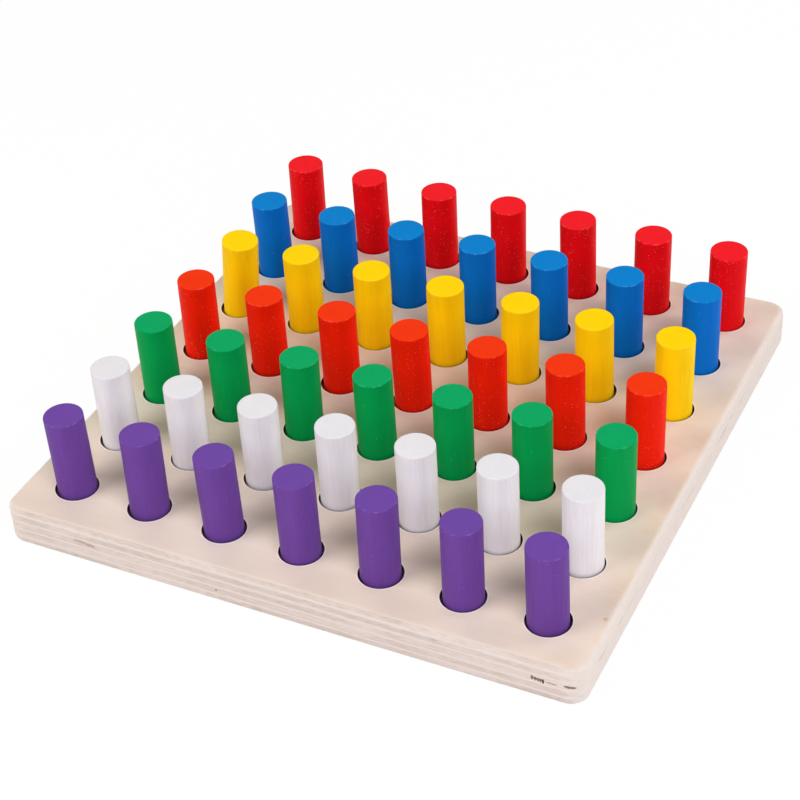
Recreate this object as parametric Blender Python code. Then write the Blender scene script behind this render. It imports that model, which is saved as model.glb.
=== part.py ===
"""Wooden peg board: a square plywood board with a grid of blind holes and a loose round peg in each hole.

Metres, +Z up. The origin is the middle of the board's underside. The colour rows run along X,
and the first row, at the front, lies at the lowest Y.
"""

import math

import bmesh
import bpy

# Driving dimensions
COLUMNS = 7
PITCH = 0.035  # hole centre to hole centre, the same both ways
BOARD_MARGIN = 0.0225  # outer hole centres to the board's edge
BOARD_THICKNESS = 0.018
CORNER_RADIUS = 0.0075  # of the board's outline, seen from above
EDGE_ROUNDING = 0.0025  # sanded edge round the board's top and underside
FLOOR_THICKNESS = 0.005  # wood left under each hole
PEG_DIAMETER = 0.0164
PEG_LENGTH = 0.050
PEG_CHAMFER = 0.0006  # eased edge at both ends of a peg
HOLE_CLEARANCE = 0.0007  # between a peg's side and its hole's wall
SEAT_GAP = 0.0003  # between a peg's foot and the floor of its hole

# Finish of each part: colour (linear red, green, blue) and roughness
BOARD_FINISH = ((0.745, 0.620, 0.550), 0.62)
PEG_FINISHES = {
    "purple": ((0.160, 0.065, 0.345), 0.45),
    "white": ((0.800, 0.775, 0.805), 0.50),
    "green": ((0.002, 0.350, 0.100), 0.45),
    "orange": ((0.850, 0.032, 0.005), 0.45),
    "yellow": ((0.950, 0.600, 0.010), 0.45),
    "blue": ((0.001, 0.180, 0.540), 0.45),
    "red": ((0.820, 0.012, 0.018), 0.45),
}

# Smoothness of round shapes
ROUND_SEGMENTS = 24
CORNER_SEGMENTS = 6
EDGE_SEGMENTS = 3
SHARP_ANGLE = math.radians(30)
EDGE_BEVEL_ANGLE = math.radians(60)

# Worked out from the driving dimensions
ROWS = len(PEG_FINISHES)
BOARD_LENGTH = (COLUMNS - 1) * PITCH + 2 * BOARD_MARGIN
BOARD_WIDTH = (ROWS - 1) * PITCH + 2 * BOARD_MARGIN
HOLE_DIAMETER = PEG_DIAMETER + 2 * HOLE_CLEARANCE
HOLE_DEPTH = BOARD_THICKNESS - FLOOR_THICKNESS
CUTTER_OVERRUN = HOLE_DEPTH  # how far the hole cutter stands above the board


def clear_scene():
    for obj in list(bpy.data.objects):
        bpy.data.objects.remove(obj, do_unlink=True)


def make_material(name, finish):
    colour, roughness = finish
    material = bpy.data.materials.new(name)
    material.use_nodes = True
    shader = material.node_tree.nodes["Principled BSDF"]
    shader.inputs["Base Color"].default_value = (*colour, 1.0)
    shader.inputs["Roughness"].default_value = roughness
    shader.inputs["Metallic"].default_value = 0.0
    return material


def add_object(name, mesh, parent=None):
    obj = bpy.data.objects.new(name, mesh)
    bpy.context.collection.objects.link(obj)
    obj.parent = parent
    return obj


def mesh_from(bm, name):
    """Turns a bmesh into a mesh that is smooth on its round faces and sharp on its edges."""
    bmesh.ops.recalc_face_normals(bm, faces=bm.faces)
    mesh = bpy.data.meshes.new(name)
    bm.to_mesh(mesh)
    bm.free()
    mesh.shade_smooth()
    mesh.set_sharp_from_angle(angle=SHARP_ANGLE)
    return mesh


def hole_centre(row, column):
    """X and Y of a hole, with the grid centred on the board."""
    x = (column - (COLUMNS - 1) / 2) * PITCH
    y = (row - (ROWS - 1) / 2) * PITCH
    return x, y


def rounded_outline():
    """Points of the board's outline, anticlockwise from the right front corner's arc."""
    points = []
    for corner in range(4):
        start = math.radians(90 * corner - 90)
        side_x = 1 if corner in (0, 1) else -1
        side_y = 1 if corner in (1, 2) else -1
        centre_x = side_x * (BOARD_LENGTH / 2 - CORNER_RADIUS)
        centre_y = side_y * (BOARD_WIDTH / 2 - CORNER_RADIUS)
        for step in range(CORNER_SEGMENTS + 1):
            angle = start + math.radians(90) * step / CORNER_SEGMENTS
            points.append(
                (
                    centre_x + CORNER_RADIUS * math.cos(angle),
                    centre_y + CORNER_RADIUS * math.sin(angle),
                )
            )
    return points


def board_blank_mesh():
    """The board before drilling: its outline raised to the board's thickness."""
    bm = bmesh.new()
    outline = [bm.verts.new((x, y, 0.0)) for x, y in rounded_outline()]
    underside = bm.faces.new(outline)
    raised = bmesh.ops.extrude_face_region(bm, geom=[underside])
    top_verts = [item for item in raised["geom"] if isinstance(item, bmesh.types.BMVert)]
    bmesh.ops.translate(bm, verts=top_verts, vec=(0.0, 0.0, BOARD_THICKNESS))
    return mesh_from(bm, "board_blank")


def hole_cutter_mesh():
    """One round plug for each hole, from the hole's floor to well above the board."""
    bm = bmesh.new()
    height = HOLE_DEPTH + CUTTER_OVERRUN
    for row in range(ROWS):
        for column in range(COLUMNS):
            x, y = hole_centre(row, column)
            made = bmesh.ops.create_cone(
                bm,
                cap_ends=True,
                segments=ROUND_SEGMENTS,
                radius1=HOLE_DIAMETER / 2,
                radius2=HOLE_DIAMETER / 2,
                depth=height,
            )
            centre = (x, y, FLOOR_THICKNESS + height / 2)
            bmesh.ops.translate(bm, verts=made["verts"], vec=centre)
    return mesh_from(bm, "hole_cutter")


def make_board(parent):
    """Plywood board with sanded edges and a grid of blind holes drilled from above."""
    cutter = add_object("hole_cutter", hole_cutter_mesh(), parent)
    cutter.hide_render = True
    cutter.display_type = "WIRE"

    board = add_object("base_board", board_blank_mesh(), parent)
    board.data.materials.append(make_material("plywood", BOARD_FINISH))

    rounding = board.modifiers.new("sanded_edges", "BEVEL")
    rounding.width = EDGE_ROUNDING
    rounding.segments = EDGE_SEGMENTS
    rounding.limit_method = "ANGLE"
    rounding.angle_limit = EDGE_BEVEL_ANGLE

    drilling = board.modifiers.new("drilled_holes", "BOOLEAN")
    drilling.operation = "DIFFERENCE"
    drilling.solver = "EXACT"
    drilling.object = cutter
    return board


def peg_mesh(name):
    """A round peg standing on its own origin, with both ends eased."""
    bm = bmesh.new()
    made = bmesh.ops.create_cone(
        bm,
        cap_ends=True,
        segments=ROUND_SEGMENTS,
        radius1=PEG_DIAMETER / 2,
        radius2=PEG_DIAMETER / 2,
        depth=PEG_LENGTH,
    )
    bmesh.ops.translate(bm, verts=made["verts"], vec=(0.0, 0.0, PEG_LENGTH / 2))
    rims = [edge for edge in bm.edges if edge.verts[0].co.z == edge.verts[1].co.z]
    bmesh.ops.bevel(
        bm,
        geom=rims,
        offset=PEG_CHAMFER,
        offset_type="OFFSET",
        segments=1,
        affect="EDGES",
    )
    return mesh_from(bm, name)


def make_peg_row(row, colour, finish, parent):
    """The pegs of one colour, numbered from the left, each on its own hole's axis."""
    mesh = peg_mesh(f"peg_{colour}")
    mesh.materials.append(make_material(f"{colour}_paint", finish))
    for column in range(COLUMNS):
        x, y = hole_centre(row, column)
        peg = add_object(f"peg_{colour}_{column + 1}", mesh, parent)
        peg.location = (x, y, FLOOR_THICKNESS + SEAT_GAP)


def main():
    clear_scene()
    peg_board = add_object("peg_board", None)
    make_board(peg_board)
    for row, (colour, finish) in enumerate(PEG_FINISHES.items()):
        make_peg_row(row, colour, finish, peg_board)


main()
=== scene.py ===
# %% [markdown]
# # A peg board with painted pegs
# The object is a toy: a square plywood board with a grid of blind holes, and a loose, painted wooden peg in
# each hole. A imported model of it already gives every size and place. This lesson builds the looks around
# that model: sanded plywood, satin paint, and a pale studio to see them in.

import math

import bmesh
import bpy
from mathutils import Matrix, Vector


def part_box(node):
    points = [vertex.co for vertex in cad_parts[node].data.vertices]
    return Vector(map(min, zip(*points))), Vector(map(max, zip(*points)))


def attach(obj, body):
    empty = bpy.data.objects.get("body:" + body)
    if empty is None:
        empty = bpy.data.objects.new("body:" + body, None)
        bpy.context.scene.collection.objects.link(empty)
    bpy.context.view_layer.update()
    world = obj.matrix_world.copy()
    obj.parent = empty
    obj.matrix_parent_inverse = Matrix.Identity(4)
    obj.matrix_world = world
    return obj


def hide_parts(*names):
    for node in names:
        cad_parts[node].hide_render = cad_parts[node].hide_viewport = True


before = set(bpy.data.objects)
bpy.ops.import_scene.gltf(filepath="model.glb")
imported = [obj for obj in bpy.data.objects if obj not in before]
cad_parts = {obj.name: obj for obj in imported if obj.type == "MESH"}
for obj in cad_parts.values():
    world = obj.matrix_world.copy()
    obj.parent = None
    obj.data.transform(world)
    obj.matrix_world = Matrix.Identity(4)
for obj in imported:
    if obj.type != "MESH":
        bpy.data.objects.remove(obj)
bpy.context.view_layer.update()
scene = bpy.context.scene

# %% [markdown]
# ## Sizes
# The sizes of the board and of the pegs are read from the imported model, which keeps the looks and the
# solids in step. Only what a box can't tell is written down, such as the play of a peg in its hole.

# %% Read the sizes
MM = 0.001
HOLE_PLAY = 0.7 * MM
SEAT_GAP = 0.3 * MM  # between a peg's foot and the floor of its hole

board_low, board_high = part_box("base_board")
BOARD_TOP = board_high.z
HALF_LENGTH = (board_high.x - board_low.x) / 2
HALF_WIDTH = (board_high.y - board_low.y) / 2

peg_boxes = {name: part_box(name) for name in sorted(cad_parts) if name.startswith("peg_")}
first_low, first_high = peg_boxes["peg_purple_1"]
second_low = peg_boxes["peg_purple_2"][0]
PITCH = second_low.x - first_low.x
PEG_RADIUS = (first_high.x - first_low.x) / 2
PEG_LENGTH = first_high.z - first_low.z
HOLE_RADIUS = PEG_RADIUS + HOLE_PLAY
HOLE_FLOOR = first_low.z - SEAT_GAP
COLUMNS = sum(name.startswith("peg_purple_") for name in peg_boxes)
ROWS = len(peg_boxes) // COLUMNS
print(f"board {HALF_LENGTH * 2 / MM:.0f} by {HALF_WIDTH * 2 / MM:.0f} by {BOARD_TOP / MM:.0f} mm")
print(f"{ROWS} rows of {COLUMNS} pegs, {PITCH / MM:.0f} mm apart, {PEG_RADIUS * 2 / MM:.1f} mm thick")

# %% [markdown]
# ## Helpers for node trees
# Geometry trees and material trees are wired the same way, so a few short helpers serve both. `add` places
# a node, sets its options and feeds its inputs. An input takes a plain value or another node's output.

# %% Place and feed nodes
NODE_GAP = 180  # between neighbours in the node editor


def feed(tree, socket, source):
    """Links a socket to another node's output, or sets it to a plain value."""
    if isinstance(source, bpy.types.NodeSocket):
        tree.links.new(source, socket)
    else:
        socket.default_value = source


def add(tree, kind, inputs=None, **options):
    """Places a node. Its inputs go by name, or by number where a node repeats a name."""
    node = tree.nodes.new(kind)
    node.location.x = NODE_GAP * len(tree.nodes)
    for name, value in options.items():
        setattr(node, name, value)
    for name, source in (inputs or {}).items():
        feed(tree, node.inputs[name], source)
    return node


print("node helpers:", feed.__name__, add.__name__)

# %% [markdown]
# ## Short forms
# Sums, blends and smooth steps turn up in every tree. With a short form for each, a line below says what is
# computed, and not how its node is wired.


# %% Define the short forms
def calc(tree, operation, first, second=0.0):
    return add(tree, "ShaderNodeMath", {0: first, 1: second}, operation=operation).outputs[0]


def vector_calc(tree, operation, first, second=(0.0, 0.0, 0.0)):
    return add(tree, "ShaderNodeVectorMath", {0: first, 1: second}, operation=operation).outputs[0]


def vector_length(tree, vector):
    return add(tree, "ShaderNodeVectorMath", {0: vector}, operation="LENGTH").outputs["Value"]


def scaled(tree, vector, factor):
    return add(tree, "ShaderNodeVectorMath", {0: vector, "Scale": factor}, operation="SCALE").outputs[0]


def split(tree, vector):
    """The X, Y and Z of a vector, by name."""
    return add(tree, "ShaderNodeSeparateXYZ", {0: vector}).outputs


def combine(tree, **axes):
    """A vector from its X, Y and Z, each 0 where it isn't given."""
    return add(tree, "ShaderNodeCombineXYZ", axes).outputs[0]


def step(tree, value, low, high, start=0.0, end=1.0):
    """Goes smoothly from start, where the value is low, to end, where it is high."""
    limits = {"Value": value, "From Min": low, "From Max": high, "To Min": start, "To Max": end}
    return add(tree, "ShaderNodeMapRange", limits, interpolation_type="SMOOTHSTEP").outputs["Result"]


def between(tree, share, first, second):
    """A value between two values."""
    return add(tree, "ShaderNodeMix", {0: share, 2: first, 3: second}, data_type="FLOAT").outputs[0]


def blend(tree, share, first, second):
    """A colour between two colours."""
    return add(tree, "ShaderNodeMix", {0: share, 6: first, 7: second}, data_type="RGBA").outputs[2]


print("short forms for sums:", calc.__name__, vector_calc.__name__, vector_length.__name__, scaled.__name__)
print("short forms for blends:", step.__name__, between.__name__, blend.__name__)

# %% [markdown]
# ## Node groups
# A group is a tree with named inputs and outputs, which other trees use as if it were one node. Its sockets
# belong to its interface, and they are made first, so that the group's own input and output nodes show
# them.


# %% Define how groups are made and used
def new_group(name, kind, inputs, outputs):
    """Starts a node group, and returns it with the sockets that it is given and those that it fills."""
    tree = bpy.data.node_groups.new(name, kind)
    for socket, socket_type in inputs.items():
        tree.interface.new_socket(socket, in_out="INPUT", socket_type=f"NodeSocket{socket_type}")
    for socket, socket_type in outputs.items():
        tree.interface.new_socket(socket, in_out="OUTPUT", socket_type=f"NodeSocket{socket_type}")
    given = add(tree, "NodeGroupInput").outputs
    filled = add(tree, "NodeGroupOutput").inputs
    return tree, given, filled


def use_group(tree, group, inputs):
    """Places a shader node group in a material, with its own values."""
    return add(tree, "ShaderNodeGroup", inputs, node_tree=group).outputs


print("group helpers:", new_group.__name__, use_group.__name__)

# %% [markdown]
# ## Wood grain
# Both finishes of the toy, bare plywood and paint, are wood underneath. A picture of wood would repeat, and
# blur close up. So grain is noise pulled out along one direction: short across the fibres, long along them.
# Broad streaks are the same noise, several times larger. As a node group, the effect is built once, and
# each finish uses it with its own sizes.

# %% Build the wood grain
STREAK_STRETCH = (0.35, 0.12, 0.12)  # of the fibres' scale, along them and across
FIBRE_DETAIL = 3.0
STREAK_DETAIL = 2.0
GRAIN_RANGE = (0.25, 0.75)  # of the noise, spread over 0 to 1


def build_grain():
    """Wood grain that runs along the vector's X: broad streaks and fine fibres, both from 0 to 1."""
    tree, given, filled = new_group(
        "wood_grain",
        "ShaderNodeTree",
        {"Vector": "Vector", "Fibre Length": "Float", "Fibre Width": "Float"},
        {"Streaks": "Float", "Fibres": "Float"},
    )
    along = calc(tree, "DIVIDE", 1.0, given["Fibre Length"])
    across = calc(tree, "DIVIDE", 1.0, given["Fibre Width"])
    fibre_space = vector_calc(tree, "MULTIPLY", given["Vector"], combine(tree, X=along, Y=across, Z=across))
    streak_space = vector_calc(tree, "MULTIPLY", fibre_space, STREAK_STRETCH)
    looks = (("Fibres", fibre_space, FIBRE_DETAIL), ("Streaks", streak_space, STREAK_DETAIL))
    for name, space, detail in looks:
        noise = add(tree, "ShaderNodeTexNoise", {"Vector": space, "Scale": 1.0, "Detail": detail})
        feed(tree, filled[name], step(tree, noise.outputs[0], *GRAIN_RANGE))
    return tree


GRAIN = build_grain()
print("shared effect:", GRAIN.name, "with", len(GRAIN.nodes), "nodes")

# %% [markdown]
# ## Patches of tone
# Wood and paint are nowhere quite even. Patches of warmer and cooler tone, blotches and worn spots all come
# from one soft noise, used at different sizes.

# %% Build the tone patches
PATCH_DETAIL = 1.5
PATCH_RANGE = (0.3, 0.7)  # of the noise, spread over 0 to 1


def build_patches():
    """Soft patches, from 0 to 1, about as wide as Size."""
    tree, given, filled = new_group(
        "tone_patches", "ShaderNodeTree", {"Vector": "Vector", "Size": "Float"}, {"Tone": "Float"}
    )
    scale = calc(tree, "DIVIDE", 1.0, given["Size"])
    patches = {"Vector": given["Vector"], "Scale": scale, "Detail": PATCH_DETAIL}
    noise = add(tree, "ShaderNodeTexNoise", patches)
    feed(tree, filled["Tone"], step(tree, noise.outputs[0], *PATCH_RANGE))
    return tree


PATCHES = build_patches()
print("shared effect:", PATCHES.name, "with", len(PATCHES.nodes), "nodes")

# %% [markdown]
# ## Specks
# Pores in bare wood and dust in paint are small dots, far too many to model one by one. A Voronoi pattern
# gives one point in each of its cells, with a random colour. One channel of that colour picks the cells
# that get a dot, and another sets its size.

# %% Build the specks
SMALLEST_SPECK = 0.5  # of the radius asked for, and the largest is one radius more
SPECK_CORE = 0.6  # of a speck's own radius, beyond which it fades


def build_specks():
    """Round specks of about the given Radius, in a Share of cells that are Spacing wide."""
    tree, given, filled = new_group(
        "specks",
        "ShaderNodeTree",
        {"Vector": "Vector", "Spacing": "Float", "Radius": "Float", "Share": "Float"},
        {"Mask": "Float"},
    )
    scale = calc(tree, "DIVIDE", 1.0, given["Spacing"])
    cells = add(tree, "ShaderNodeTexVoronoi", {"Vector": given["Vector"], "Scale": scale})
    distance = calc(tree, "MULTIPLY", cells.outputs["Distance"], given["Spacing"])
    draw = add(tree, "ShaderNodeSeparateColor", {0: cells.outputs["Color"]}).outputs
    size = calc(tree, "MULTIPLY", given["Radius"], calc(tree, "ADD", draw["Green"], SMALLEST_SPECK))
    dot = step(tree, calc(tree, "DIVIDE", distance, size), SPECK_CORE, 1.0, start=1.0, end=0.0)
    chosen = calc(tree, "LESS_THAN", draw["Red"], given["Share"])
    feed(tree, filled["Mask"], calc(tree, "MULTIPLY", dot, chosen))
    return tree


SPECKS = build_specks()
print("shared effect:", SPECKS.name, "with", len(SPECKS.nodes), "nodes")

# %% [markdown]
# ## Plywood layers
# The board's edges show the glued layers of the plywood, turned a quarter against each other: one layer is
# cut along its grain and looks pale, the next across it and looks darker. On the left and right edges they
# trade places, but show far less. The layers could be slabs of their own, but they are glued and sanded
# flush, so a material can show them. Their pattern depends only on the height and the side of a point, so
# Object coordinates are enough. Each layer takes its own slice of a noise, so that it fades in and out in
# its own places.

# %% Shade the layers
FACE_VENEER = 0.6 * MM
FIRST_CROSS_LAYER = 0.8 * MM
CORE_LAYER = 1.9 * MM
LAYER_WOBBLE = 0.45  # of a core layer
LAYER_TURN = (0.25, 0.90)  # of the wave, from a dark layer to a pale one
SIDE_CONTRAST = 0.12  # of the layers on the left and right edges, against the front and back
FADE_RANGE = (0.35, 0.65)  # of the noise, from where a layer is faintest to where it is full
FAINTEST = 0.35  # of a layer's full strength
THREAD_CONTRAST = 1.4  # of single threads within the layers
# Features of each noise for a metre along X, Y and Z, but for a layer in the last of FADE_SCALE
WOBBLE_SCALE = (28.0, 28.0, 28.0)
FADE_SCALE = (35.0, 35.0, 3.7)
THREAD_SCALE = (260.0, 260.0, 1500.0)
COARSE = 2.0  # detail of a noise
FINE = 3.0
NOISE_MEAN = 0.5


def stretched_noise(tree, coords, scale, detail=COARSE):
    """Noise with its own scale along each axis."""
    space = vector_calc(tree, "MULTIPLY", coords, scale)
    return add(tree, "ShaderNodeTexNoise", {"Vector": space, "Scale": 1.0, "Detail": detail}).outputs[0]


def layer_shade(tree, coords, depth, side):
    """How much an edge shows end grain, from 0 to 1, with the glued layers one above another."""
    wobble = stretched_noise(tree, coords, WOBBLE_SCALE, FINE)
    shift = calc(tree, "MULTIPLY", calc(tree, "SUBTRACT", wobble, NOISE_MEAN), LAYER_WOBBLE)
    below_faces = calc(tree, "SUBTRACT", depth, FACE_VENEER + FIRST_CROSS_LAYER)
    layer = calc(tree, "ADD", calc(tree, "DIVIDE", below_faces, CORE_LAYER), shift)
    wave = calc(tree, "SINE", calc(tree, "MULTIPLY", layer, math.pi))
    front = step(tree, wave, *LAYER_TURN, start=1.0, end=0.0)
    turned = calc(tree, "MULTIPLY", calc(tree, "SUBTRACT", 1.0, front), SIDE_CONTRAST)
    shade = between(tree, side, front, turned)

    place = split(tree, coords)
    own_place = combine(tree, X=place["X"], Y=place["Y"], Z=calc(tree, "FLOOR", layer))
    fade = step(tree, stretched_noise(tree, own_place, FADE_SCALE), *FADE_RANGE, start=FAINTEST, end=1.0)
    threads = stretched_noise(tree, coords, THREAD_SCALE, FINE)
    uneven = calc(tree, "MULTIPLY", calc(tree, "SUBTRACT", threads, NOISE_MEAN), THREAD_CONTRAST)
    return calc(tree, "ADD", calc(tree, "MULTIPLY", shade, fade), uneven)


core_layers = (BOARD_TOP - 2 * (FACE_VENEER + FIRST_CROSS_LAYER)) / CORE_LAYER
print(f"plywood: about {core_layers:.0f} core layers of {CORE_LAYER / MM:.1f} mm")

# %% [markdown]
# ## Torn fibres
# Where a layer is cut across its grain, short fibres are torn out and leave dark dashes, too small and too
# many for meshes. On the left and right edges the dashes are longer, and keep to one layer. A dash is
# stretched noise again, of which only the peaks are kept.

# %% Colour the edges
CORE_LINE = 7.4 * MM  # depth of the layer with torn fibres, seen on the left and right edges
CORE_LINE_REACH = (0.3 * MM, 0.9 * MM)  # from its middle, where the tearing begins to fade and where it ends
SHORT_DASH_SCALE = (260.0, 260.0, 2400.0)
LONG_DASH_SCALE = (70.0, 70.0, 900.0)
SHORT_DASH_PEAKS = (0.50, 0.66)  # of the noise, from the edge of a dash to its middle
LONG_DASH_PEAKS = (0.50, 0.62)
TORN_SHARE = 0.45  # of the fleck's colour in a torn fibre
LONG_GRAIN = (0.715, 0.622, 0.580, 1.0)
SIDE_GRAIN = (0.760, 0.670, 0.622, 1.0)
END_GRAIN = (0.605, 0.508, 0.458, 1.0)
FLECK = (0.380, 0.300, 0.255, 1.0)


def edge_colour(tree, coords, depth, side):
    """The edge's colour, and the torn fibres that its relief needs too."""
    shade = layer_shade(tree, coords, depth, side)
    edge = blend(tree, shade, blend(tree, side, LONG_GRAIN, SIDE_GRAIN), END_GRAIN)
    from_line = calc(tree, "ABSOLUTE", calc(tree, "SUBTRACT", depth, CORE_LINE))
    core_line = step(tree, from_line, *CORE_LINE_REACH, start=1.0, end=0.0)
    rough = between(tree, side, shade, core_line)
    short = step(tree, stretched_noise(tree, coords, SHORT_DASH_SCALE, FINE), *SHORT_DASH_PEAKS)
    long = step(tree, stretched_noise(tree, coords, LONG_DASH_SCALE), *LONG_DASH_PEAKS)
    torn = calc(tree, "MULTIPLY", between(tree, side, short, long), rough)
    return blend(tree, calc(tree, "MULTIPLY", torn, TORN_SHARE), edge, FLECK), torn


print(f"plywood: torn fibres along a line {CORE_LINE / MM:.1f} mm down")

# %% [markdown]
# ## Face veneer
# The top and the underside show one thin veneer, with its grain along the rows of pegs. It has soft patches
# of tone. At the right edge and the right front corner sanding has thinned it, and the warmer wood below
# shows in blotches. One tiny knot sits near that edge. All of it is smooth to the touch, so colour alone
# can show it.

# %% Colour the faces
FACE_PATCH = 45 * MM
FACE_PATCH_SHARE = 0.6  # of the warm tone in a patch
BLOTCH = 8 * MM
THIN_BORDER = 13 * MM  # at the right edge, where sanding has thinned the face veneer
THIN_UNTIL = 70 * MM  # behind the middle of the board, where that border has faded out
THIN_CORNER = 32 * MM  # the same at the right front corner, along the edges together
THIN_CORE = 0.3  # of either width, where the thinning begins to fade
PIN_KNOT = (124.4 * MM, -96.4 * MM, BOARD_TOP)
PIN_KNOT_REACH = (0.2 * MM, 1.6 * MM)  # from its middle, where its colour begins to fade and where it ends
PIN_KNOT_SHARE = 0.4  # of its colour in the middle
STREAK_SHARE = 0.13  # of the fibre's colour in the streaks of the grain
FIBRE_SHARE = 0.17  # the same in its fibres
DARK_FIBRES = (0.55, 1.0)  # of the fibres, from where they begin to show to where they are darkest
FACE_COOL = (0.780, 0.665, 0.590, 1.0)
FACE_WARM = (0.775, 0.635, 0.535, 1.0)
FACE_THIN = (0.755, 0.605, 0.490, 1.0)
FACE_FIBRE = (0.600, 0.465, 0.375, 1.0)
# The pin knot's own colour, which is also the lighter end of the painted shade inside the core's gaps
KNOT_AND_PIT_SHADE = (0.380, 0.160, 0.100, 1.0)


def thin_veneer(tree, place):
    """Where sanding has thinned the veneer: a border at the right that fades to the back, and a corner."""
    to_right = calc(tree, "SUBTRACT", HALF_LENGTH, place["X"])
    to_front = calc(tree, "ADD", HALF_WIDTH, place["Y"])
    to_corner = calc(tree, "ADD", to_right, to_front)
    border = step(tree, to_right, THIN_BORDER * THIN_CORE, THIN_BORDER, start=1.0, end=0.0)
    border = calc(tree, "MULTIPLY", border, step(tree, place["Y"], 0.0, THIN_UNTIL, start=1.0, end=0.0))
    corner = step(tree, to_corner, THIN_CORNER * THIN_CORE, THIN_CORNER, start=1.0, end=0.0)
    return calc(tree, "MAXIMUM", border, corner)


def face_colour(tree, coords, place, grain):
    """The face veneer: soft patches, blotches where it is thin, and dark fibres along the rows of pegs."""
    patches = use_group(tree, PATCHES, {"Vector": coords, "Size": FACE_PATCH})
    face = blend(tree, calc(tree, "MULTIPLY", patches["Tone"], FACE_PATCH_SHARE), FACE_COOL, FACE_WARM)
    blotches = use_group(tree, PATCHES, {"Vector": coords, "Size": BLOTCH})
    face = blend(tree, calc(tree, "MULTIPLY", thin_veneer(tree, place), blotches["Tone"]), face, FACE_THIN)
    from_knot = vector_length(tree, vector_calc(tree, "SUBTRACT", coords, PIN_KNOT))
    knot = step(tree, from_knot, *PIN_KNOT_REACH, start=PIN_KNOT_SHARE, end=0.0)
    face = blend(tree, knot, face, KNOT_AND_PIT_SHADE)
    streaks = calc(tree, "MULTIPLY", grain["Streaks"], STREAK_SHARE)
    fibres = calc(tree, "MULTIPLY", step(tree, grain["Fibres"], *DARK_FIBRES), FIBRE_SHARE)
    return blend(tree, calc(tree, "MAXIMUM", streaks, fibres), face, FACE_FIBRE)


print(f"plywood: face veneer of {FACE_VENEER / MM:.1f} mm, thinned in a border of {THIN_BORDER / MM:.0f} mm")

# %% [markdown]
# ## Drill marks and painted rim shade
# The drill left rings on the floor of each hole. The walls are brown, and darkened further by painted
# shade for the narrow gap round each peg. A near-black line of painted shade runs along the rim and down
# the top of the wall, and a thin pale lip round it is a painted highlight. Rings of faces round each hole
# could carry them, but the holes form a grid, so folding X and Y back at every half pitch gives the
# distance to the nearest hole, and all the marks follow from that.

# %% Colour the holes
RIM_BREAK = 0.25 * MM  # at the mouth of each hole, where sandpaper has broken the rim
RIM_LINE = 0.15 * MM  # beyond the rim, where the thin line of painted shade ends
RIM_LIP = 0.80 * MM  # beyond the rim, where the pale lip of painted highlight ends
# Painted shade: how far down the wall the near-black rim shade reaches
RIM_SHADE_DEPTH = 3.0 * MM
DRILL_RING = 1.1 * MM  # between the rings that the drill's lip cut into the floor of each hole
DRILL_POINT = 1.3 * MM  # the dent that its point left in the middle
DENT_CORE = 0.6  # of the dent, beyond which it fades
RING_RANGE = (-0.2, 1.0)  # of the rings' wave, from pale to dark
MARKED_FROM = (1 * MM, 2 * MM)  # above the underside, which the holes don't reach
FLOOR_FROM = (-3 * RIM_BREAK, -2 * RIM_BREAK)  # inwards of the rim, where the floor follows the wall
# How far each mark covers what is under it
LIP_SHARE = 0.9
WALL_SHARE = 0.75
LINE_SHARE = 0.95
RING_SHARE = 0.6
# Painted highlight: the pale lip round each rim
RIM_HIGHLIGHT = (0.900, 0.820, 0.770, 1.0)
# The brown of the drilled wall, darkened further as painted shade for the narrow gap round each peg
SHADED_DRILLED_WALL = (0.240, 0.160, 0.110, 1.0)
FLOOR_PALE = (0.560, 0.440, 0.345, 1.0)
FLOOR_DARK = (0.330, 0.235, 0.170, 1.0)
# Painted shade: the near-black line along the rim and down the top of the wall
RIM_SHADE = (0.022, 0.004, 0.003, 1.0)


def hole_distance(tree, place):
    """How far a point is from the axis of the nearest hole of the grid."""
    apart = {}
    for axis, count in (("X", COLUMNS), ("Y", ROWS)):
        from_first = calc(tree, "ADD", place[axis], PITCH * (count - 1) / 2)
        apart[axis] = calc(tree, "PINGPONG", from_first, PITCH / 2)
    return vector_length(tree, combine(tree, **apart))


def drilled_floor(tree, from_axis):
    """The floor of a hole: rings round the dent of the drill's point."""
    turns = calc(tree, "MULTIPLY", from_axis, math.tau / DRILL_RING)
    rings = step(tree, calc(tree, "COSINE", turns), *RING_RANGE, start=0.0, end=RING_SHARE)
    dent = step(tree, from_axis, DRILL_POINT * DENT_CORE, DRILL_POINT, start=1.0, end=0.0)
    return blend(tree, calc(tree, "MAXIMUM", rings, dent), FLOOR_PALE, FLOOR_DARK)


def drill_marks(tree, place, depth, colour):
    """Adds a pale lip of painted highlight, painted shade on the brown wall and rim, and a ringed floor."""
    from_axis = hole_distance(tree, place)
    from_rim = calc(tree, "SUBTRACT", from_axis, HOLE_RADIUS + RIM_BREAK)
    above = step(tree, place["Z"], *MARKED_FROM)
    # Painted highlight: a pale lip just beyond the rim
    lip = step(tree, from_rim, RIM_LINE, RIM_LIP, start=LIP_SHARE, end=0.0)
    # The brown wall, darkened further by painted shade
    wall = step(tree, from_rim, -RIM_BREAK, 0.0, start=WALL_SHARE, end=0.0)
    inside = step(tree, from_rim, *FLOOR_FROM, start=1.0, end=0.0)
    # Painted shade: a near-black line along the rim and down the top of the wall
    line = step(tree, from_rim, 0.0, RIM_LINE, start=LINE_SHARE, end=0.0)
    near_top = step(tree, depth, RIM_SHADE_DEPTH / 2, RIM_SHADE_DEPTH, start=1.0, end=0.0)
    rim_shade = calc(tree, "MULTIPLY", line, near_top)
    floor = drilled_floor(tree, from_axis)
    for mark, finish in ((lip, RIM_HIGHLIGHT), (wall, SHADED_DRILLED_WALL), (inside, floor), (rim_shade, RIM_SHADE)):
        colour = blend(tree, calc(tree, "MULTIPLY", above, mark), colour, finish)
    return colour


# The depth printed is how far the painted rim shade reaches
print(f"plywood: marks of {COLUMNS * ROWS} holes, shade_painted {RIM_SHADE_DEPTH / MM:.0f} mm deep")
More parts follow.
